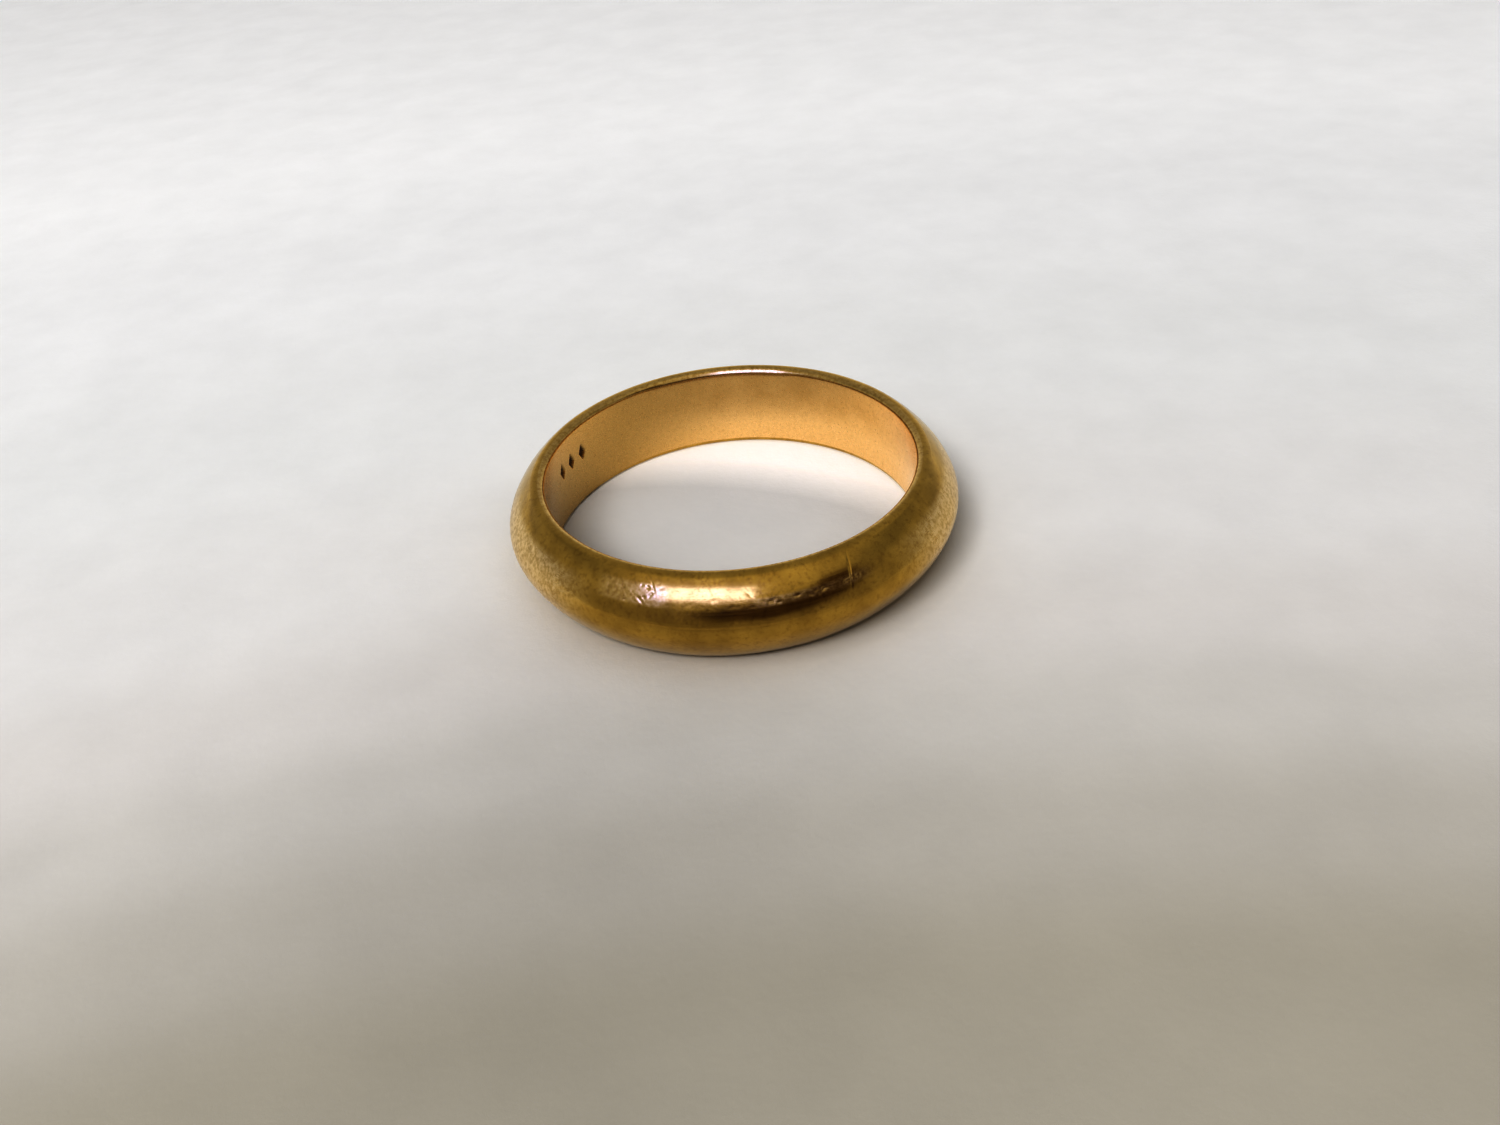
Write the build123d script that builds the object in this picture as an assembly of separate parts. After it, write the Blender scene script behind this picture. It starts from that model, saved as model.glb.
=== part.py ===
from build123d import *
import math
import os

# A plain half-round wedding band: one piece of gold, straight on the finger side and domed outside.
# All sizes are in millimetres. The band lies on its lower rim, with its axis along +Z,
# and the origin is on that axis at the level of the lower rim.

# Driving dimensions
FINGER_RADIUS = 8.05       # radius of the straight inner wall: US ring size 5 1/2, a 16.1 mm bore
BAND_WIDTH = 4.0           # rim to rim, along the finger
BAND_THICKNESS = 1.8       # inner wall to the crest of the dome
INNER_EDGE_ROUND = 0.25    # softened edge between the inner wall and each rim
RIM_FLAT = 0.12            # narrow flat that the band rests on, next to the inner edge round
SHOULDER_RADIUS = 0.4      # tight curve from the flat into the flank of the dome
FLANK_RADIUS = 4.0         # long, easy curve of each flank
CREST_RADIUS = 1.0         # curve over the crest of the dome

# Punch marks in the inner wall: plain lozenges that stand in for a hallmark
MARK_COUNT = 3
MARK_TALL = 0.8            # along the finger axis, at the surface of the wall
MARK_WIDE = 0.45           # around the wall, at its surface
MARK_DEPTH = 0.12
MARK_HEIGHT = 2.5          # centre of the marks above the lower rim
MARK_FIRST_AZIMUTH = 147   # degrees about +Z from +X, to the first mark
MARK_STEP = 6.5            # degrees from one mark to the next
MARK_TAPER = 20            # degrees that each side of a punch leans in
PUNCH_START = 0.2          # the punch tool starts this far off the wall, inside the bore

# Worked out from the sizes above
half_width = BAND_WIDTH / 2
rest_inner_radius = FINGER_RADIUS + INNER_EDGE_ROUND
rest_outer_radius = rest_inner_radius + RIM_FLAT
crest_distance = FINGER_RADIUS + BAND_THICKNESS


def dome_lean_angles():
    """Lean of the dome's surface where crest meets flank and where flank meets shoulder.

    The flank arc touches the crest circle and the shoulder circle from outside, so its centre is
    one corner of a triangle with theirs. Both angles are those of the outward normal above level.
    """
    across = rest_outer_radius - (crest_distance - CREST_RADIUS)
    up = half_width - SHOULDER_RADIUS
    centre_gap = math.hypot(across, up)
    flank_to_crest = FLANK_RADIUS - CREST_RADIUS
    flank_to_shoulder = FLANK_RADIUS - SHOULDER_RADIUS
    cosine = (centre_gap**2 + flank_to_crest**2 - flank_to_shoulder**2) / (2 * centre_gap * flank_to_crest)
    crest_lean = math.atan2(up, across) + math.acos(cosine) - math.pi
    flank_up = up + flank_to_crest * math.sin(crest_lean)
    flank_across = across + flank_to_crest * math.cos(crest_lean)
    shoulder_lean = math.atan2(flank_up, flank_across)
    return math.degrees(crest_lean), math.degrees(shoulder_lean)


def band_profile():
    """Section in the XZ plane: X is the distance from the axis, Z the height."""
    crest_lean, shoulder_lean = dome_lean_angles()
    dome_arcs = [
        (SHOULDER_RADIUS, 90 - shoulder_lean),
        (FLANK_RADIUS, shoulder_lean - crest_lean),
        (CREST_RADIUS, 2 * crest_lean),
        (FLANK_RADIUS, shoulder_lean - crest_lean),
        (SHOULDER_RADIUS, 90 - shoulder_lean),
    ]
    with BuildSketch(Plane.XZ) as section:
        with BuildLine():
            edge = Line((FINGER_RADIUS, BAND_WIDTH), (rest_outer_radius, BAND_WIDTH))
            for radius, sweep in dome_arcs:
                edge = JernArc(start=edge @ 1, tangent=edge % 1, radius=radius, arc_size=-sweep)
            Polyline(edge @ 1, (FINGER_RADIUS, 0), (FINGER_RADIUS, BAND_WIDTH))
        make_face()
        inner_corners = section.vertices().sort_by(Axis.X)[:2]
        fillet(inner_corners, INNER_EDGE_ROUND)
    return section.sketch


def punch_tool(azimuth):
    """A tapered lozenge that sinks MARK_DEPTH into the inner wall at this azimuth.

    It starts larger, inside the bore, so that it has the mark's size where it meets the wall.
    """
    angle = math.radians(azimuth)
    outward = Vector(math.cos(angle), math.sin(angle), 0)
    sideways = Vector(-math.sin(angle), math.cos(angle), 0)
    start = outward * (FINGER_RADIUS - PUNCH_START) + Vector(0, 0, MARK_HEIGHT)
    side_distance = MARK_TALL * MARK_WIDE / (2 * math.hypot(MARK_TALL, MARK_WIDE))
    growth = 1 + PUNCH_START * math.tan(math.radians(MARK_TAPER)) / side_distance
    half_tall = growth * MARK_TALL / 2
    half_wide = growth * MARK_WIDE / 2
    corners = [(half_wide, 0), (0, half_tall), (-half_wide, 0), (0, -half_tall)]
    outline = make_face(Polyline(*corners, close=True))
    lozenge = Plane(origin=start, x_dir=sideways, z_dir=outward) * outline
    return extrude(lozenge, PUNCH_START + MARK_DEPTH, taper=MARK_TAPER)


def make_band():
    """The whole band: the section turned about the finger axis, with the marks punched in."""
    band = revolve(band_profile(), Axis.Z)
    for index in range(MARK_COUNT):
        band -= punch_tool(MARK_FIRST_AZIMUTH + index * MARK_STEP)
    return band


os.makedirs("parts", exist_ok=True)
export_step(make_band(), "parts/band.step")
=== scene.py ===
import math
from collections import namedtuple

import bpy
import numpy as np
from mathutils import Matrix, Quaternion, Vector


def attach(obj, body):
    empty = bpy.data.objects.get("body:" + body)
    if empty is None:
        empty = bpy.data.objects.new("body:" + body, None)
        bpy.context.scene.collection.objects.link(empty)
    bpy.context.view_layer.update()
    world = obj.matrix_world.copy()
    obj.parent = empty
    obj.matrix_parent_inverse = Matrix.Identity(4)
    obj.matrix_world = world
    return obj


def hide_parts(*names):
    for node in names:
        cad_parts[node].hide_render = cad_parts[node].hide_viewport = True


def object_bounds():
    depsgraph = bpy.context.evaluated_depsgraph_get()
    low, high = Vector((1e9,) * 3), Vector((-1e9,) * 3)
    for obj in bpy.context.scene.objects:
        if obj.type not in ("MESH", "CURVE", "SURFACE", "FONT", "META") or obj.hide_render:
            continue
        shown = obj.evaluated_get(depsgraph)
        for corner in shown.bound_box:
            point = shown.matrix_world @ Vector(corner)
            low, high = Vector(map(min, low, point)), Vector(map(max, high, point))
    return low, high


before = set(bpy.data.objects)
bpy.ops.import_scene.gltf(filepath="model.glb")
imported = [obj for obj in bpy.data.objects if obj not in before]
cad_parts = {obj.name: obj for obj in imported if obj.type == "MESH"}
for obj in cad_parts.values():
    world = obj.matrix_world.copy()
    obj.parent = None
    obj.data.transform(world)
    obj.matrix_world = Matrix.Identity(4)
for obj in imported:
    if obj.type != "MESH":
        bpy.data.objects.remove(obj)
cad_low, cad_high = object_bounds()

# A worn gold wedding band lying on paper. Band sizes are in millimetres, and MM turns them into metres.
# An azimuth is in degrees round the band's axis, 0 at the right and -90 towards the viewer. "Along" is
# the distance along the section, from the foot of the inner wall up and round.
MM = 0.001
RANDOM = np.random.default_rng(5)

# Section of the band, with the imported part's width and outer radius and otherwise the same as its section
BAND_WIDTH = round((cad_high[2] - cad_low[2]) / MM, 3)
OUTER_RADIUS = round(cad_high[0] / MM, 3)
BAND_THICKNESS = 1.8
FINGER_RADIUS = OUTER_RADIUS - BAND_THICKNESS
INNER_EDGE_ROUND = 0.25
RIM_FLAT = 0.12
SHOULDER_RADIUS = 0.4
FLANK_RADIUS = 4.0
CREST_RADIUS = 1.0

# Punch marks in the inner wall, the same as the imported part's
MARK_AZIMUTHS = (147, 153.5, 160)
MARK_HEIGHT = 2.5
MARK_TALL = 0.8
MARK_WIDE = 0.45
MARK_DEPTH = 0.12
MARK_TAPER = 20

# Mesh. A zone is lowest place, highest place and how softly it ends. Columns lie closer by the number
# after each zone: at the front, at the scratch and at the marks. Rows lie closer on the rounds and at
# the marks, and closest on the upper half of the dome.
COLUMNS = 700
ROWS = 138
LINE_STEPS = 24000
COLUMN_ZONES = (
    ((-128, -52, 12), 2.4),
    ((-64.5, -61, 1), 4),
    ((143, 164, 3), 1.6),
)
PLAIN_ROWS = 0.9
CLOSER_ROWS = 1.1
CLOSEST_ROWS = 2.2
MARK_MARGIN = 0.05
ROW_SOFTNESS = 0.1
DOME_ROW_SOFTNESS = 0.2
WALL_SOFTNESS = 0.1

# Wear that changes the section: the crest eases into its flanks over a width, and the upper inner edge
# has a small facet at the back, at a share of the way round the edge. Wear on the dome ends softly on
# its shoulders.
CREST_SOFTENING = 1.0
DOME_SOFTNESS = 0.3
FACET_WIDTH = 0.14
FACET_PLACE = 0.4
FACET_AZIMUTHS = (72, 110, 10)

# Waves all round the dome: how many, ranges of cycles round the band and across it without their upper
# ends, how many cycles round weigh as much as one across, their largest usual sum, and depth
WAVES = 26
CYCLES_ROUND = (3, 34)
CYCLES_ACROSS = (0, 5)
CYCLES_RATIO = 8
WAVES_REACH = 6
WAVE_DEPTH = 0.02

# Random dents, by group: how many, then ranges of azimuth, height, length, width and depth, and the
# largest tilt in degrees. The lower edge of the highlight has its heights as mean and spread.
DentGroup = namedtuple("DentGroup", "count azimuths heights lengths widths depths tilt")
SCATTERED_DENTS = DentGroup(110, (-180, 180), (0.4, 3.75), (0.07, 0.28), (0.05, 0.12), (0.002, 0.007), 40)
EDGE_DENTS = DentGroup(60, (-114, -59), (3.1, 0.05), (0.05, 0.13), (0.045, 0.07), (0.003, 0.009), 20)
CLUSTER_DENTS = DentGroup(55, (-127, -112), (3.05, 3.62), (0.05, 0.12), (0.04, 0.06), (0.003, 0.01), 60)
LEFT_DENTS = DentGroup(220, (-215, -135), (1.0, 3.6), (0.08, 0.32), (0.06, 0.12), (0.002, 0.007), 90)

# Strength of dents as azimuths and the strengths there
EVEN_STRENGTH = ((-180, 180), (1, 1))
EDGE_STRENGTH = ((-90, -80), (0.25, 1))

# Single dents: (azimuth, height), (length, width), depth and tilt. The first is the thin scratch.
SINGLE_DENTS = (
    ((-62.6, 3.4), (0.46, 0.05), 0.022, 105),
    ((-112.5, 3.62), (0.24, 0.05), 0.014, 60),
    ((-155, 3.1), (0.2, 0.12), 0.03, 30),
)

# Finely scuffed places, as a zone of azimuths, a zone of heights and strength: the lower edge of the
# highlight, the cluster left of it, the left side and the right side. The inner edge is scuffed all round.
# The strengths also set the paler worn colour, which on the left and right sides is partly a painted sheen.
SCUFFED_AND_SHEEN_PLACES = (
    ((-84, -62, 6), (3.02, 3.2, 0.12), 0.45),
    ((-124, -112, 5), (3.1, 3.6, 0.15), 0.4),
    ((-173, -148, 22), (0.8, 3.15, 0.4), 0.85),
    ((-30, 40, 22), (0.8, 3.15, 0.4), 0.7),
)
EDGE_SCUFFS_START = 0.08
EDGE_SCUFFS_SOFTNESS = 0.06
EDGE_SCUFFS_STRENGTH = 0.35

# Gold colours, bright and dulled on the dome and on the inner wall, then in single places
BRIGHT_DOME = (0.64, 0.445, 0.112, 1)
DULL_DOME = (0.50, 0.335, 0.075, 1)
BRIGHT_WALL = (0.85, 0.60, 0.27, 1)
DULL_WALL = (0.77, 0.53, 0.22, 1)
# Painted light: the paler foot of the inner wall stands in for the bright paper it reflects.
WALL_FOOT_LIGHT = (0.92, 0.675, 0.335, 1)
WALL_LEFT = (0.66, 0.47, 0.19, 1)
SPOTS = (0.42, 0.26, 0.05, 1)
# Paler colour where worn: real scuff wear, and on the left and right sides also a painted sheen.
RUBBED_SHEEN = (0.95, 0.77, 0.47, 1)
RECESS = (0.10, 0.05, 0.02, 1)

# Where the painted light on the wall's foot starts and is full, along the wall, and where the colour of its
# left does, in x
WALL_FOOT_LIGHT_FADE = (2.3, 1.1)
WALL_LEFT_FADE = (0.5, -5)

# Noise in the gold, as (cycles per millimetre, detail, roughness), and how much slower the scratches
# change round the band and faster across it
CLOUDS_NOISE = (0.9, 3.0, 0.55)
SPECKLE_NOISE = (5.0, 4.0, 0.7)
GRAIN_NOISE = (9.0, 3.0, 0.6)
SCRATCH_NOISE = (1.6, 4.0, 0.65)
SCRATCHES_ROUND = 0.2
SCRATCHES_ACROSS = 9.0

# Part of a noise's range over which each effect comes in, and how strong its weakest or strongest is
DULLING_RANGE = (0.35, 0.7)
SPOTS_RANGE = (0.5, 0.7)
RUBBED_SHEEN_RANGE = (0.58, 0.40)
FULL_RANGE = (0.3, 0.7)
MOST_SPOTS = 0.7
SPOTS_ON_WALL = 0.2
LEAST_RUBBED_SHEEN = 0.4

# Finish of the gold: roughness, depth of fine relief in millimetres, and a thin coat
DOME_ROUGHNESS = (0.11, 0.21)
WALL_ROUGHNESS = (0.2, 0.3)
SATIN_ROUGHNESS = 0.34
SCRATCHES_SHARE = 0.7
GRAIN_SHARE = 0.3
POLISHED_RELIEF = 0.0009
SATIN_RELIEF = 0.003
COAT_WEIGHT = 0.35
COAT_ROUGHNESS = 0.25

# Paper: its tones from the viewer's side to far away, as (distance from the near point, colour), darker
# towards the viewer by painted shade, and the painted shade's tone in front of the picture's lower edge,
# with the y where it starts and is full. All in metres.
NEAR_POINT = (0.002, -0.13, 0)
TONE_REACH = 0.2
PAPER_SHADE_TONES = (
    (0.105, (0.545, 0.52, 0.46)),
    (0.111, (0.62, 0.60, 0.56)),
    (0.117, (0.70, 0.685, 0.66)),
    (0.122, (0.765, 0.75, 0.735)),
    (0.130, (0.82, 0.815, 0.81)),
    (0.145, (0.855, 0.86, 0.86)),
    (0.165, (0.91, 0.915, 0.92)),
    (0.190, (0.98, 0.985, 0.99)),
)
NEARER_SHADE_TONE = (0.58, 0.56, 0.52, 1)
NEARER_SHADE_FADE = (-0.036, -0.08)

# Soft shade on the paper between the band and the viewer
SHADE_CENTRE = (-0.007, -0.019)
SHADE_HALF_SIZE = (0.010, 0.013)
SHADE_SOFTNESS = 0.9
SHADE_TONE = 0.9

# Narrow shade on the paper to the right of the band: distances from its point where it starts and ends
CONTACT_POINT = (0.0012, 0.0004, 0)
CONTACT_EDGE = (0.0088, 0.0099)
CONTACT_TONE = 0.86

# Paper inside the band: dimmer than outside by painted shade, with a painted glow for the crescent of light
# thrown by the inner wall. The edge between inside and outside lies under the band.
INSIDE_EDGE = (0.009, 0.0082)
INSIDE_SHADE_TONE = 0.91
CRESCENT_POINT = (-0.006, -0.014, 0)
CRESCENT_EDGE = (0.0188, 0.0214)
CRESCENT_STRENGTH = 0.32
CRESCENT_COLOUR = (1, 0.93, 0.87, 1)

# Texture of the paper, with its noise as (cycles per metre, detail, roughness)
MOTTLE_NOISE = (220.0, 4.0, 0.6)
MOTTLE_TONE = 0.96
FIBRE_NOISE = (2600.0, 3.0, 0.6)
FIBRE_RELIEF = 0.03 * MM
FIBRE_STRENGTH = 0.5
PAPER_ROUGHNESS = 0.95
PAPER_SPECULAR = 0.1
FLOOR_HALF_SIZE = 0.9
FLOOR_STEPS = 40

# Surroundings, with turns to the right of the camera's side and rises above the paper, both in degrees.
# The studio goes from its front tone to its back tone, and the camera sees the plain backdrop instead.
STUDIO_FRONT = (0.70, 0.695, 0.69, 1)
STUDIO_BACK = (0.565, 0.56, 0.56, 1)
STUDIO_FADE = (-0.6, 0.6)
BACKDROP = (0.93, 0.93, 0.93, 1)

# Soft patches laid over the studio: centre (turn, rise), half size, softness, tilt, then colour
SURROUNDINGS = (
    ((-105, 42), (34, 14), 0.6, 0, (0.44, 0.435, 0.43)),
    ((96, 32), (28, 10), 0.6, 0, (0.45, 0.445, 0.44)),
    ((180, 0), (68, 6), 0.4, 0, (1.0, 0.99, 0.97)),
    ((180, 4), (38, 22), 0.5, 0, (0.98, 0.97, 0.95)),
    ((-10, 54), (66, 18), 0.7, 0, (0.92, 0.9, 0.88)),
    ((-3, 12), (72, 15), 0.4, 0, (0.46, 0.43, 0.39)),
    ((21, 22), (46, 10), 0.3, 2, (0.14, 0.09, 0.05)),
    ((50, 32), (12, 6), 0.5, 0, (0.17, 0.11, 0.06)),
)

# Key light and reflected card: place and size in degrees as seen from the band, and distance in metres
LIGHT_DISTANCE = 0.4
CARD_DISTANCE = 0.5
KEY_LIGHT = {"turn": -23, "rise": 46, "wide": 30, "tall": 14, "watts": 1.0}
WINDOW = {"turn": -24, "rise": 43.5, "wide": 42, "tall": 15.5, "tilt": 9, "radiance": (2.5, 2.85, 8.3)}
CARD_ROUNDING = 0.3
CARD_CORNER_STEPS = 8

# Camera, in metres and degrees, with its lens and sensor in millimetres, and the picture's tone curve
CAMERA_PLACE = Vector((0, -0.05187, 0.03547))
CAMERA_AIM = Vector((0.00044, -0.00228, 0))
CAMERA_ROLL = -5.635
CAMERA_LENS = 33.58
CAMERA_SENSOR = 36
CAMERA_NEAREST = 0.001
CAMERA_FURTHEST = 10
PICTURE_GAMMA = 0.526


# ---------------------------------------------------------------- section and mesh


def dome_lean_angles():
    """Lean of the dome's surface where crest meets flank and where flank meets shoulder, in radians."""
    across = INNER_EDGE_ROUND + RIM_FLAT - BAND_THICKNESS + CREST_RADIUS
    up = BAND_WIDTH / 2 - SHOULDER_RADIUS
    gap = math.hypot(across, up)
    to_crest = FLANK_RADIUS - CREST_RADIUS
    to_shoulder = FLANK_RADIUS - SHOULDER_RADIUS
    cosine = (gap**2 + to_crest**2 - to_shoulder**2) / (2 * gap * to_crest)
    crest_lean = math.atan2(up, across) + math.acos(cosine) - math.pi
    flank_across = across + to_crest * math.cos(crest_lean)
    flank_up = up + to_crest * math.sin(crest_lean)
    return crest_lean, math.atan2(flank_up, flank_across)


def section_pieces():
    """The section's pieces in order, from the foot of the inner wall, each as (length, turn to the right)."""
    crest_lean, shoulder_lean = dome_lean_angles()
    quarter = math.pi / 2
    edge = (INNER_EDGE_ROUND * quarter, quarter)
    flat = (RIM_FLAT, 0)
    shoulder = (SHOULDER_RADIUS * (quarter - shoulder_lean), quarter - shoulder_lean)
    flank = (FLANK_RADIUS * (shoulder_lean - crest_lean), shoulder_lean - crest_lean)
    return {
        "wall": (BAND_WIDTH - 2 * INNER_EDGE_ROUND, 0),
        "upper_edge": edge,
        "upper_flat": flat,
        "upper_shoulder": shoulder,
        "upper_flank": flank,
        "crest": (CREST_RADIUS * 2 * crest_lean, 2 * crest_lean),
        "lower_flank": flank,
        "lower_shoulder": shoulder,
        "lower_flat": flat,
        "lower_edge": edge,
    }


def section_line():
    """The section as one closed line, from the foot of the inner wall up and round.

    The result has the distance along the line, the distance from the axis, the height and the heading,
    at LINE_STEPS points, and then where along the line each piece starts.
    """
    pieces = section_pieces()
    lengths, turns = np.array(list(pieces.values())).T
    ends = np.concatenate([[0], np.cumsum(lengths)])
    start = dict(zip(pieces, ends))
    headings_at_ends = math.pi / 2 - np.concatenate([[0], np.cumsum(turns)])
    along = np.linspace(0, ends[-1], LINE_STEPS)
    step = along[1] - along[0]
    heading = softened(along, np.interp(along, ends, headings_at_ends), step, start)
    outward = FINGER_RADIUS + running_sum(np.cos(heading), step)
    height = INNER_EDGE_ROUND + running_sum(np.sin(heading), step)
    # The eased line closes almost but not quite, and the dome takes up the difference in height
    dome_length = start["lower_flat"] - start["upper_shoulder"]
    down_dome = np.clip((along - start["upper_shoulder"]) / dome_length, 0, 1)
    height -= (height[-1] - height[0]) * down_dome
    return along, outward, height, heading, start


def softened(along, heading, step, start):
    """heading with its turns eased over the dome, so that the worn crest runs smoothly into the flanks."""
    window = np.hanning(int(CREST_SOFTENING / step))
    eased = np.convolve(heading, window / window.sum(), mode="same")
    first = start["upper_flank"] + CREST_SOFTENING / 2
    last = start["lower_shoulder"] - CREST_SOFTENING / 2
    share = bump_between(along, first, last, DOME_SOFTNESS)
    return heading + share * (eased - heading)


def running_sum(values, step):
    """Integral of evenly spaced values from the first one on."""
    middles = (values[1:] + values[:-1]) / 2
    return np.concatenate([[0], np.cumsum(middles)]) * step


def spread(start, end, count, density):
    """count places from start up to but not at end, closer together where density is high."""
    fine = np.linspace(start, end, LINE_STEPS)
    total = running_sum(density(fine), fine[1] - fine[0])
    return np.interp(np.arange(count) * total[-1] / count, total, fine)


def bump_between(value, low, high, soft):
    """1 between low and high, easing to 0 over soft beyond each."""
    below = np.clip((low - value) / soft, 0, 1)
    above = np.clip((value - high) / soft, 0, 1)
    away = below + above
    return 1 - away * away * (3 - 2 * away)


ALONG, OUTWARD, HEIGHT, HEADING, START = section_line()
SECTION_LENGTH = ALONG[-1]


def along_dome_at(height):
    """Place along the section where the dome is at this height above the lower rim."""
    dome = (ALONG > START["upper_flat"]) & (ALONG < START["lower_edge"])
    return np.interp(-height, -HEIGHT[dome], ALONG[dome])


def row_density(along):
    """How close rows lie: fine on rounds and at the marks, finest on the upper half of the dome."""
    upper_rounds = bump_between(along, START["upper_edge"], START["upper_flank"], ROW_SOFTNESS)
    lower_rounds = bump_between(along, START["lower_shoulder"], SECTION_LENGTH, ROW_SOFTNESS)
    marks_middle = MARK_HEIGHT - INNER_EDGE_ROUND
    marks_reach = MARK_TALL / 2 + MARK_MARGIN
    marks = bump_between(along, marks_middle - marks_reach, marks_middle + marks_reach, ROW_SOFTNESS)
    upper_dome = bump_between(along, START["upper_flank"], START["crest"], DOME_ROW_SOFTNESS)
    closer = upper_rounds + lower_rounds + marks
    return PLAIN_ROWS + CLOSER_ROWS * closer + CLOSEST_ROWS * upper_dome


def column_density(azimuth):
    """How close columns lie: fine over the front, at the scratch and at the marks."""
    return 1 + sum(extra * bump_between(azimuth, *zone) for zone, extra in COLUMN_ZONES)


# ---------------------------------------------------------------- wear


def turn_from(azimuth, centre):
    """Degrees from centre to azimuth, the short way round."""
    return (azimuth - centre + 180) % 360 - 180


def turn_between(azimuth, low, high, soft):
    """bump_between for azimuths, which carries on past 180 degrees."""
    middle = (low + high) / 2
    return bump_between(turn_from(azimuth, middle), low - middle, high - middle, soft)


def dent(azimuth, along, place, size, depth, tilt):
    """A shallow rounded dent. place is (azimuth, height), size is (length, width) in millimetres."""
    round_dome = np.radians(turn_from(azimuth, place[0])) * OUTER_RADIUS
    down_dome = along - along_dome_at(place[1])
    cosine = math.cos(math.radians(tilt))
    sine = math.sin(math.radians(tilt))
    lengthways = (round_dome * cosine + down_dome * sine) / size[0]
    sideways = (down_dome * cosine - round_dome * sine) / size[1]
    return depth * np.exp(-(lengthways**2) - sideways**2)


def random_dents(azimuth, along, group, draw_height=RANDOM.uniform, strength=EVEN_STRENGTH):
    """Depth of a group of dents, each drawn from the group's ranges."""
    total = np.zeros_like(azimuth)
    for _ in range(group.count):
        turn = RANDOM.uniform(*group.azimuths)
        place = (turn, draw_height(*group.heights))
        size = (RANDOM.uniform(*group.lengths), RANDOM.uniform(*group.widths))
        depth = np.interp(turn, *strength) * RANDOM.uniform(*group.depths)
        tilt = RANDOM.uniform(-group.tilt, group.tilt)
        total += dent(azimuth, along, place, size, depth, tilt)
    return total


def waviness(azimuth, along):
    """Slow unevenness left by years of wear, from 0 to about 1. Shorter waves are lower."""
    total = np.zeros_like(azimuth)
    for _ in range(WAVES):
        cycles_round = RANDOM.integers(*CYCLES_ROUND)
        cycles_across = RANDOM.integers(*CYCLES_ACROSS)
        phase = RANDOM.uniform(0, 2 * math.pi)
        weight = 1 / math.hypot(cycles_round / CYCLES_RATIO, cycles_across)
        angle = cycles_round * np.radians(azimuth) + 2 * math.pi * cycles_across * along / SECTION_LENGTH
        total += weight * np.sin(angle + phase)
    return np.clip(0.5 + total / (2 * WAVES_REACH), 0, 1)


def edge_facet(azimuth, along):
    """Extra wear at the back of the band, just deep enough to flatten the middle of the facet."""
    middle = (1 - FACET_PLACE) * START["upper_edge"] + FACET_PLACE * START["upper_flat"]
    from_middle = (along - middle) / FACET_WIDTH
    depth = FACET_WIDTH**2 / (2 * INNER_EDGE_ROUND)
    return depth * np.exp(-(from_middle**2)) * bump_between(azimuth, *FACET_AZIMUTHS)


def wear(azimuth, along):
    """Depth worn into the dome and the upper inner edge, in millimetres."""
    dome = bump_between(along, START["upper_flank"], START["lower_shoulder"], DOME_SOFTNESS)
    depth = WAVE_DEPTH * waviness(azimuth, along)
    depth += random_dents(azimuth, along, SCATTERED_DENTS)
    depth += random_dents(azimuth, along, EDGE_DENTS, RANDOM.normal, EDGE_STRENGTH)
    depth += random_dents(azimuth, along, CLUSTER_DENTS)
    depth += random_dents(azimuth, along, LEFT_DENTS)
    for place, size, deep, tilt in SINGLE_DENTS:
        depth += dent(azimuth, along, place, size, deep, tilt)
    return depth * dome + edge_facet(azimuth, along)


def scuffed(azimuth, along):
    """Where the dome and the inner edge are finely scuffed, from 0 to 1. It also places the paler worn
    colour, partly a painted sheen.
    """
    height = np.interp(along, ALONG, HEIGHT)
    edge_start = START["upper_edge"] + EDGE_SCUFFS_START
    inner_edge = bump_between(along, edge_start, START["upper_flat"], EDGE_SCUFFS_SOFTNESS)
    total = EDGE_SCUFFS_STRENGTH * inner_edge
    for azimuths, heights, strength in SCUFFED_AND_SHEEN_PLACES:
        total += strength * turn_between(azimuth, *azimuths) * bump_between(height, *heights)
    return np.clip(total, 0, 1) * (along > START["upper_edge"])


def mark_depth(azimuth, along):
    """Depth of the punched lozenges in the inner wall."""
    to_side = MARK_TALL * MARK_WIDE / (2 * math.hypot(MARK_TALL, MARK_WIDE))
    steepness = 1 / math.tan(math.radians(MARK_TAPER))
    depth = np.zeros_like(azimuth)
    for centre in MARK_AZIMUTHS:
        sideways = np.radians(azimuth - centre) * FINGER_RADIUS
        upwards = along + INNER_EDGE_ROUND - MARK_HEIGHT
        inside = 1 - abs(sideways) / (MARK_WIDE / 2) - abs(upwards) / (MARK_TALL / 2)
        depth += np.clip(inside * to_side * steepness, 0, MARK_DEPTH)
    return depth * (along < START["upper_edge"])


# ---------------------------------------------------------------- band


def closed_grid_faces(rows, columns):
    """Quads of a grid that closes on itself both ways, wound to face out."""
    row, column = np.meshgrid(np.arange(rows), np.arange(columns), indexing="ij")
    next_row = (row + 1) % rows
    next_column = (column + 1) % columns
    corners = [
        row * columns + column,
        next_row * columns + column,
        next_row * columns + next_column,
        row * columns + next_column,
    ]
    return np.stack(corners, axis=-1).reshape(-1, 4)


def add_attribute(mesh, name, values):
    """Adds one number per point to the mesh, for its material to read."""
    attribute = mesh.attributes.new(name, "FLOAT", "POINT")
    attribute.data.foreach_set("value", values.astype(np.float32).ravel())


def add_object(name, data):
    """Adds an object with this mesh, light or camera to the scene."""
    new_object = bpy.data.objects.new(name, data)
    bpy.context.scene.collection.objects.link(new_object)
    return new_object


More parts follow.
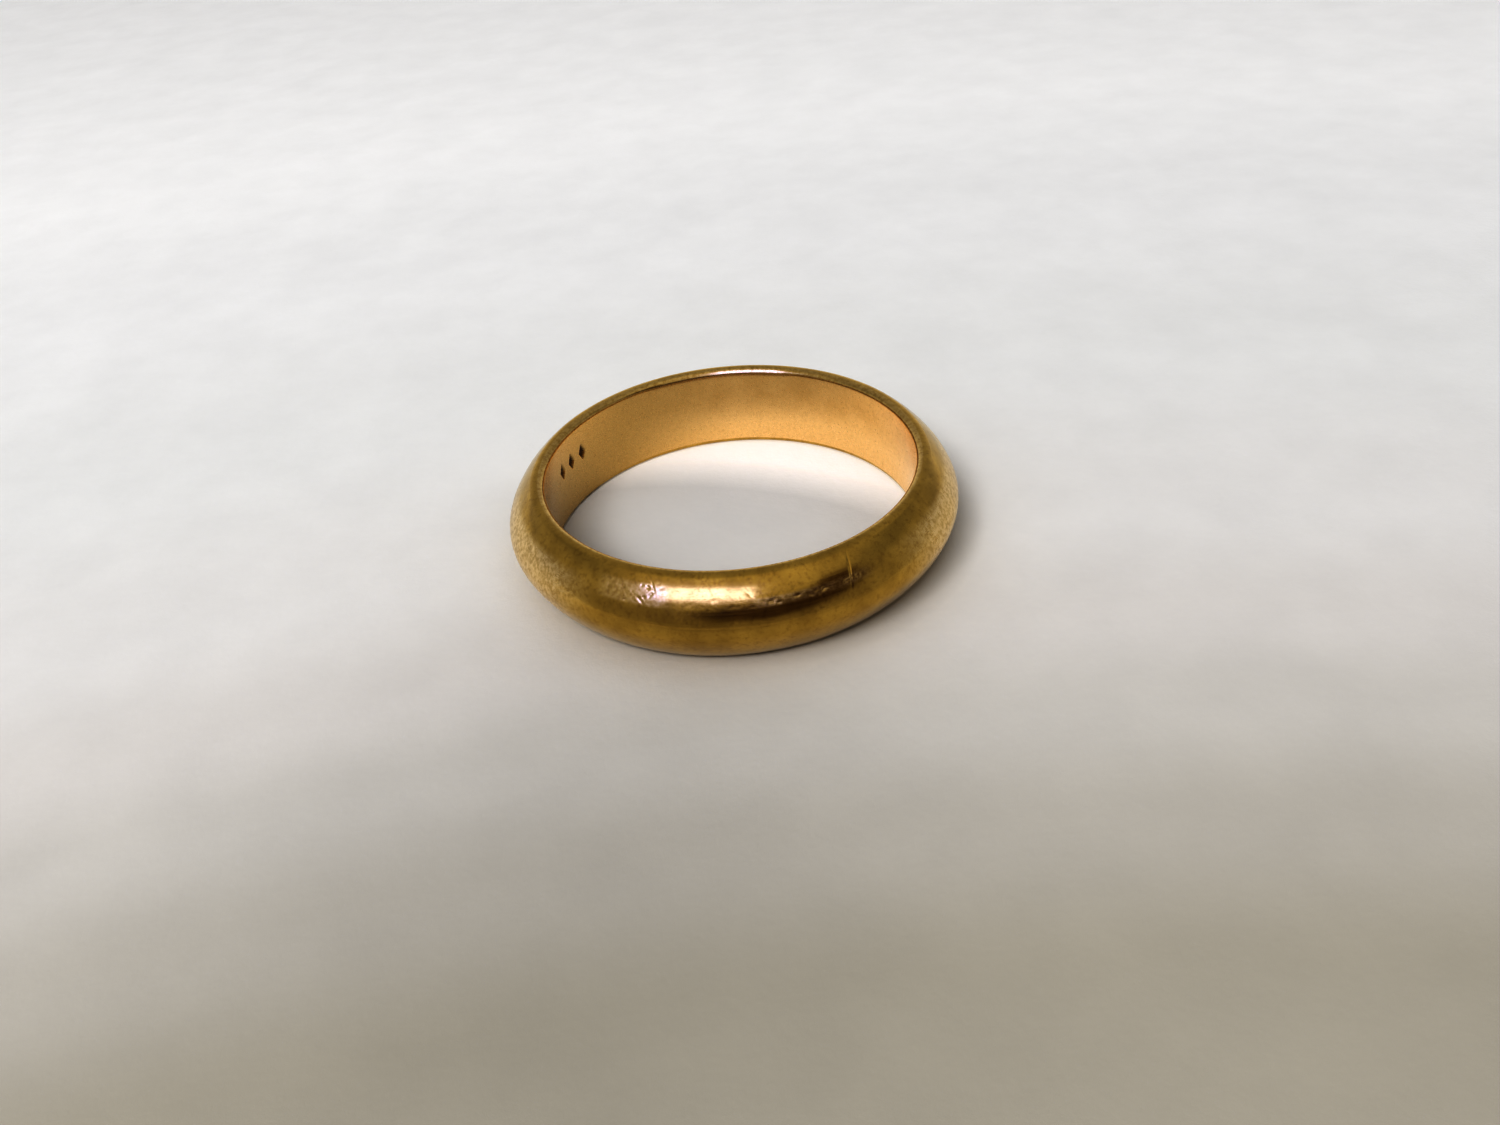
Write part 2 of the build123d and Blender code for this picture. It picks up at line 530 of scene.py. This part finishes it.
def make_band():
    """The band's surface: the section swept round, worn and punched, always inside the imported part."""
    section_places = spread(0, SECTION_LENGTH, ROWS, row_density)
    azimuths = spread(-180, 180, COLUMNS, column_density)
    along, azimuth = np.meshgrid(section_places, azimuths, indexing="ij")
    marks = mark_depth(azimuth, along)
    inward = wear(azimuth, along) + marks
    heading = np.interp(along, ALONG, HEADING)
    outward = np.interp(along, ALONG, OUTWARD) + inward * np.sin(heading)
    height = np.interp(along, ALONG, HEIGHT) - inward * np.cos(heading)
    angle = np.radians(azimuth)
    points = np.stack([outward * np.cos(angle), outward * np.sin(angle), height], axis=-1)
    mesh = bpy.data.meshes.new("worn_band")
    faces = closed_grid_faces(ROWS, COLUMNS)
    mesh.from_pydata((points.reshape(-1, 3) * MM).tolist(), [], faces.tolist())
    mesh.shade_smooth()
    add_attribute(mesh, "across", along)
    add_attribute(mesh, "inner_wall", bump_between(along, 0, START["upper_edge"], WALL_SOFTNESS))
    add_attribute(mesh, "recess", marks / MARK_DEPTH)
    add_attribute(mesh, "scuffed", scuffed(azimuth, along))
    return add_object("worn_band", mesh)


# ---------------------------------------------------------------- materials


def add_node(tree, kind, inputs=None, **settings):
    """Adds a node. Each input is a value to set, or a socket to link from."""
    node = tree.nodes.new(kind)
    for name, value in settings.items():
        setattr(node, name, value)
    for name, value in (inputs or {}).items():
        if isinstance(value, bpy.types.NodeSocket):
            tree.links.new(value, node.inputs[name])
        else:
            node.inputs[name].default_value = value
    return node


def math_node(tree, operation, *values):
    """Result of one sum on one, two or three numbers."""
    return add_node(tree, "ShaderNodeMath", dict(enumerate(values)), operation=operation).outputs[0]


def vector_node(tree, operation, *values):
    """Node that works out one sum on vectors."""
    return add_node(tree, "ShaderNodeVectorMath", dict(enumerate(values)), operation=operation)


def distance_from(tree, place, point):
    """Distance between two places."""
    return vector_node(tree, "DISTANCE", place, point).outputs["Value"]


def remap(tree, value, from_low, from_high, to_low, to_high, easing="LINEAR"):
    """value moved from one range to another and held inside it."""
    inputs = {
        "Value": value,
        "From Min": from_low,
        "From Max": from_high,
        "To Min": to_low,
        "To Max": to_high,
    }
    return add_node(tree, "ShaderNodeMapRange", inputs, interpolation_type=easing).outputs["Result"]


def mix_value(tree, share, first, second):
    """first turned into second by share. The node's sockets 2 and 3 are its numbers."""
    return add_node(tree, "ShaderNodeMix", {0: share, 2: first, 3: second}).outputs[0]


def mix_colour(tree, share, first, second, blend="MIX"):
    """first turned into second by share. The node's sockets 6 and 7, and its output 2, are its colours."""
    inputs = {0: share, 6: first, 7: second}
    return add_node(tree, "ShaderNodeMix", inputs, data_type="RGBA", blend_type=blend).outputs[2]


def colour_ramp(tree, value, reach, stops):
    """Colour for value, which runs from 0 to reach, eased between stops of (value, colour)."""
    node = add_node(tree, "ShaderNodeValToRGB", {"Fac": math_node(tree, "DIVIDE", value, reach)})
    node.color_ramp.interpolation = "EASE"
    elements = node.color_ramp.elements
    elements.remove(elements[1])
    first_place, first_colour = stops[0]
    elements[0].position = first_place / reach
    elements[0].color = (*first_colour, 1)
    for place, colour in stops[1:]:
        elements.new(place / reach).color = (*colour, 1)
    return node.outputs["Color"]


def soft_oval(tree, across, up, centre, half_size, softness, tilt=0):
    """1 inside a soft-edged oval, 0 outside."""
    away = {
        "X": math_node(tree, "SUBTRACT", across, centre[0]),
        "Y": math_node(tree, "SUBTRACT", up, centre[1]),
    }
    flat = add_node(tree, "ShaderNodeCombineXYZ", away).outputs[0]
    turned = {"Vector": flat, "Angle": math.radians(-tilt)}
    level = add_node(tree, "ShaderNodeVectorRotate", turned, rotation_type="Z_AXIS").outputs[0]
    scale = (1 / half_size[0], 1 / half_size[1], 1)
    scaled = vector_node(tree, "MULTIPLY", level, scale).outputs["Vector"]
    outwards = vector_node(tree, "LENGTH", scaled).outputs["Value"]
    return remap(tree, outwards, 1 + softness, 1 - softness, 0, 1, "SMOOTHSTEP")


def noise(tree, vector, scale, detail, roughness):
    """Soft random tone, mostly from 0.3 to 0.7."""
    inputs = {"Vector": vector, "Scale": scale, "Detail": detail, "Roughness": roughness}
    return add_node(tree, "ShaderNodeTexNoise", inputs).outputs["Fac"]


def relief(tree, height, depth, strength=1.0):
    """Surface direction for fine relief of this depth."""
    inputs = {"Height": height, "Strength": strength, "Distance": depth}
    return add_node(tree, "ShaderNodeBump", inputs).outputs["Normal"]


def mesh_attribute(tree, name):
    """Number that make_band gave each point."""
    return add_node(tree, "ShaderNodeAttribute", attribute_name=name).outputs["Fac"]


def new_material(name):
    """A material with its node tree and its main shader."""
    material = bpy.data.materials.new(name)
    material.use_nodes = True
    tree = material.node_tree
    return material, tree, tree.nodes["Principled BSDF"]


def wall_colour(tree, axes, across, dulling):
    """Clean satin gold of the inner wall, paler at its foot by painted light, and darker at the left."""
    clean = mix_colour(tree, dulling, BRIGHT_WALL, DULL_WALL)
    clean = mix_colour(tree, remap(tree, across, *WALL_FOOT_LIGHT_FADE, 0, 1), clean, WALL_FOOT_LIGHT)
    return mix_colour(tree, remap(tree, axes.outputs["X"], *WALL_LEFT_FADE, 0, 1), clean, WALL_LEFT)


def gold_colour(tree, place, axes, across, inner_wall, scuffs):
    """Gold with dull clouds and dark spots, paler where worn by rubbing, partly a painted sheen, and dark in
    the punch marks.
    """
    clouds = noise(tree, place, *CLOUDS_NOISE)
    speckle = noise(tree, place, *SPECKLE_NOISE)
    dulling = remap(tree, clouds, *DULLING_RANGE, 0, 1)
    dome = mix_colour(tree, dulling, BRIGHT_DOME, DULL_DOME)
    gold = mix_colour(tree, inner_wall, dome, wall_colour(tree, axes, across, dulling))
    spots = remap(tree, speckle, *SPOTS_RANGE, 0, MOST_SPOTS)
    spots_here = math_node(tree, "MULTIPLY", spots, remap(tree, inner_wall, 0, 1, 1, SPOTS_ON_WALL))
    gold = mix_colour(tree, spots_here, gold, SPOTS)
    # Paler colour where scuffed: real wear, and on the sides also a painted sheen.
    rubbed_sheen = math_node(tree, "MULTIPLY", remap(tree, speckle, *RUBBED_SHEEN_RANGE, LEAST_RUBBED_SHEEN, 1.0), scuffs)
    gold = mix_colour(tree, rubbed_sheen, gold, RUBBED_SHEEN)
    return mix_colour(tree, mesh_attribute(tree, "recess"), gold, RECESS)


def gold_roughness(tree, scratches, grain, inner_wall, scuffs):
    """Polished dome, satin where it is scuffed, and a satin inner wall."""
    dome = remap(tree, scratches, *FULL_RANGE, *DOME_ROUGHNESS)
    scuffed_dome = mix_value(tree, scuffs, dome, SATIN_ROUGHNESS)
    wall = remap(tree, grain, *FULL_RANGE, *WALL_ROUGHNESS)
    return mix_value(tree, inner_wall, scuffed_dome, wall)


def gold_material():
    """Worn yellow gold: polished dome with satin scuffs, satin inner wall, fine scratches round the band."""
    material, tree, shader = new_material("worn_gold")
    place = add_node(tree, "ShaderNodeTexCoord").outputs["Object"]
    place_mm = vector_node(tree, "MULTIPLY", place, (1 / MM, 1 / MM, 1 / MM)).outputs["Vector"]
    axes = add_node(tree, "ShaderNodeSeparateXYZ", {0: place_mm})
    across = mesh_attribute(tree, "across")
    inner_wall = mesh_attribute(tree, "inner_wall")
    scuffs = mesh_attribute(tree, "scuffed")

    stretched = {
        "X": math_node(tree, "MULTIPLY", axes.outputs["X"], SCRATCHES_ROUND),
        "Y": math_node(tree, "MULTIPLY", axes.outputs["Y"], SCRATCHES_ROUND),
        "Z": math_node(tree, "MULTIPLY", across, SCRATCHES_ACROSS),
    }
    round_band = add_node(tree, "ShaderNodeCombineXYZ", stretched).outputs[0]
    scratches = noise(tree, round_band, *SCRATCH_NOISE)
    grain = noise(tree, place_mm, *GRAIN_NOISE)
    scratch_height = math_node(tree, "MULTIPLY", scratches, SCRATCHES_SHARE)
    grain_height = math_node(tree, "MULTIPLY", grain, GRAIN_SHARE)
    height = math_node(tree, "ADD", scratch_height, grain_height)
    relief_depth = remap(tree, scuffs, 0, 1, POLISHED_RELIEF * MM, SATIN_RELIEF * MM)

    colour = gold_colour(tree, place_mm, axes, across, inner_wall, scuffs)
    roughness = gold_roughness(tree, scratches, grain, inner_wall, scuffs)
    tree.links.new(colour, shader.inputs["Base Color"])
    tree.links.new(roughness, shader.inputs["Roughness"])
    tree.links.new(relief(tree, height, relief_depth), shader.inputs["Normal"])
    shader.inputs["Metallic"].default_value = 1.0
    shader.inputs["Coat Weight"].default_value = COAT_WEIGHT
    shader.inputs["Coat Roughness"].default_value = COAT_ROUGHNESS
    return material


def paper_colour(tree, place, axes, inside):
    """Paper tone: painted shade from near to far, mottle, and painted shade in front, right of and inside the
    band.
    """
    x, y = axes.outputs["X"], axes.outputs["Y"]
    tone = colour_ramp(tree, distance_from(tree, place, NEAR_POINT), TONE_REACH, PAPER_SHADE_TONES)
    tone = mix_colour(tree, remap(tree, y, *NEARER_SHADE_FADE, 0, 1), tone, NEARER_SHADE_TONE)
    mottle = noise(tree, place, *MOTTLE_NOISE)
    shade = soft_oval(tree, x, y, SHADE_CENTRE, SHADE_HALF_SIZE, SHADE_SOFTNESS)
    contact = remap(tree, distance_from(tree, place, CONTACT_POINT), *CONTACT_EDGE, CONTACT_TONE, 1)
    for share in (
        remap(tree, mottle, *FULL_RANGE, MOTTLE_TONE, 1.0),
        remap(tree, shade, 0, 1, 1, SHADE_TONE),
        remap(tree, inside, 0, 1, contact, INSIDE_SHADE_TONE),
    ):
        tone = mix_colour(tree, 1.0, tone, share, "MULTIPLY")
    return tone


def paper_material():
    """Plain matt pale paper, with a painted glow for the crescent of light that the band's inner wall throws
    on it.
    """
    material, tree, shader = new_material("plain_paper")
    place = add_node(tree, "ShaderNodeTexCoord").outputs["Object"]
    axes = add_node(tree, "ShaderNodeSeparateXYZ", {0: place})
    inside = remap(tree, distance_from(tree, place, (0, 0, 0)), *INSIDE_EDGE, 0, 1)
    tree.links.new(paper_colour(tree, place, axes, inside), shader.inputs["Base Color"])

    # The crescent is a painted glow: the paper itself gives out light there.
    crescent = remap(tree, distance_from(tree, place, CRESCENT_POINT), *CRESCENT_EDGE, 0, CRESCENT_STRENGTH)
    tree.links.new(math_node(tree, "MULTIPLY", crescent, inside), shader.inputs["Emission Strength"])
    shader.inputs["Emission Color"].default_value = CRESCENT_COLOUR
    fibres = relief(tree, noise(tree, place, *FIBRE_NOISE), FIBRE_RELIEF, FIBRE_STRENGTH)
    tree.links.new(fibres, shader.inputs["Normal"])
    shader.inputs["Roughness"].default_value = PAPER_ROUGHNESS
    shader.inputs["Specular IOR Level"].default_value = PAPER_SPECULAR
    return material


def glow_material(name, radiance):
    """A material that only gives out light."""
    material, tree, shader = new_material(name)
    tree.nodes.remove(shader)
    glow = add_node(tree, "ShaderNodeEmission", {"Color": (*radiance, 1), "Strength": 1.0})
    tree.links.new(glow.outputs[0], tree.nodes["Material Output"].inputs["Surface"])
    return material


# ---------------------------------------------------------------- stage


def direction(turn, rise):
    """Unit vector, with turn to the right of the camera's side and rise above the paper, in degrees."""
    turned = math.radians(turn)
    raised = math.radians(rise)
    level = math.cos(raised)
    return Vector((math.sin(turned) * level, -math.cos(turned) * level, math.sin(raised)))


def span(angle, distance):
    """Width in metres of something that looks this wide in degrees from this distance."""
    return 2 * distance * math.tan(math.radians(angle / 2))


def face_band(stage_object, turn, rise, distance, tilt=0):
    """Puts a light or card in this direction from the band, facing it."""
    towards = direction(turn, rise)
    stage_object.location = towards * distance
    stage_object.rotation_mode = "QUATERNION"
    facing = towards.to_track_quat("Z", "Y")
    stage_object.rotation_quaternion = facing @ Quaternion((0, 0, 1), math.radians(tilt))


def card_mesh(name, width, height):
    """A flat card with rounded corners, in its own XY plane, facing +Z."""
    points = []
    round_off = CARD_ROUNDING * min(width, height) / 2
    for quarter, (side_x, side_y) in enumerate([(1, 1), (-1, 1), (-1, -1), (1, -1)]):
        for step in range(CARD_CORNER_STEPS + 1):
            angle = math.radians(90 * quarter + 90 * step / CARD_CORNER_STEPS)
            x = side_x * (width / 2 - round_off) + round_off * math.cos(angle)
            y = side_y * (height / 2 - round_off) + round_off * math.sin(angle)
            points.append((x, y, 0))
    mesh = bpy.data.meshes.new(name)
    mesh.from_pydata(points, [], [list(range(len(points)))])
    return mesh


def reflected_card(name, turn, rise, wide, tall, tilt, radiance):
    """A card that only shows in the band's reflections."""
    mesh = card_mesh(name, span(wide, CARD_DISTANCE), span(tall, CARD_DISTANCE))
    mesh.materials.append(glow_material(name, radiance))
    card = add_object(name, mesh)
    face_band(card, turn, rise, CARD_DISTANCE, tilt)
    card.visible_camera = False
    card.visible_diffuse = False
    card.visible_shadow = False


def soft_light(name, turn, rise, wide, tall, watts):
    """A rectangular soft light that lights the paper and is not seen in reflections."""
    data = bpy.data.lights.new(name, "AREA")
    data.shape = "RECTANGLE"
    data.size = span(wide, LIGHT_DISTANCE)
    data.size_y = span(tall, LIGHT_DISTANCE)
    data.energy = watts
    light = add_object(name, data)
    face_band(light, turn, rise, LIGHT_DISTANCE)
    light.visible_glossy = False


def make_floor():
    """A large flat sheet of paper under the band."""
    places = np.linspace(-FLOOR_HALF_SIZE, FLOOR_HALF_SIZE, FLOOR_STEPS + 1)
    x, y = np.meshgrid(places, places, indexing="ij")
    points = np.stack([x, y, np.zeros_like(x)], axis=-1).reshape(-1, 3)
    row, column = np.meshgrid(np.arange(FLOOR_STEPS), np.arange(FLOOR_STEPS), indexing="ij")
    per_row = FLOOR_STEPS + 1
    first = (row * per_row + column).ravel()
    faces = np.stack([first, first + per_row, first + per_row + 1, first + 1], axis=-1)
    mesh = bpy.data.meshes.new("paper")
    mesh.from_pydata(points.tolist(), [], faces.tolist())
    mesh.materials.append(paper_material())
    add_object("paper", mesh)


def make_world():
    """Soft studio surroundings, dimmer behind, with soft patches of light and dark laid over them."""
    world = bpy.data.worlds.new("studio")
    world.use_nodes = True
    tree = world.node_tree
    towards = add_node(tree, "ShaderNodeTexCoord").outputs["Generated"]
    axes = add_node(tree, "ShaderNodeSeparateXYZ", {0: towards})
    forwards = math_node(tree, "MULTIPLY", axes.outputs["Y"], -1)
    turn = math_node(tree, "DEGREES", math_node(tree, "ARCTAN2", axes.outputs["X"], forwards))
    rise = math_node(tree, "DEGREES", math_node(tree, "ARCSINE", axes.outputs["Z"]))
    behind = remap(tree, axes.outputs["Y"], *STUDIO_FADE, 0, 1)
    studio = mix_colour(tree, behind, STUDIO_FRONT, STUDIO_BACK)
    for (patch_turn, patch_rise), half_size, softness, tilt, colour in SURROUNDINGS:
        across = math_node(tree, "WRAP", math_node(tree, "SUBTRACT", turn, patch_turn), 180, -180)
        share = soft_oval(tree, across, rise, (0, patch_rise), half_size, softness, tilt)
        studio = mix_colour(tree, share, studio, (*colour, 1))
    seen = add_node(tree, "ShaderNodeLightPath").outputs["Is Camera Ray"]
    background = tree.nodes["Background"]
    tree.links.new(mix_colour(tree, seen, studio, BACKDROP), background.inputs["Color"])
    background.inputs["Strength"].default_value = 1.0
    bpy.context.scene.world = world


def make_camera():
    """The camera, which looks down at the front of the band."""
    data = bpy.data.cameras.new("camera")
    data.lens = CAMERA_LENS
    data.sensor_width = CAMERA_SENSOR
    data.clip_start = CAMERA_NEAREST
    data.clip_end = CAMERA_FURTHEST
    camera = add_object("camera", data)
    camera.location = CAMERA_PLACE
    camera.rotation_mode = "QUATERNION"
    aim = (CAMERA_AIM - CAMERA_PLACE).to_track_quat("-Z", "Y")
    camera.rotation_quaternion = aim @ Quaternion((0, 0, 1), math.radians(CAMERA_ROLL))
    bpy.context.scene.camera = camera


def set_tones():
    """A contrasty tone curve for the picture."""
    settings = bpy.context.scene.view_settings
    settings.view_transform = "Standard"
    settings.gamma = PICTURE_GAMMA


band = make_band()
band.data.materials.append(gold_material())
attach(band, "root")
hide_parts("band")

make_floor()
make_world()
soft_light("key_light", **KEY_LIGHT)
reflected_card("window", **WINDOW)
make_camera()
set_tones()
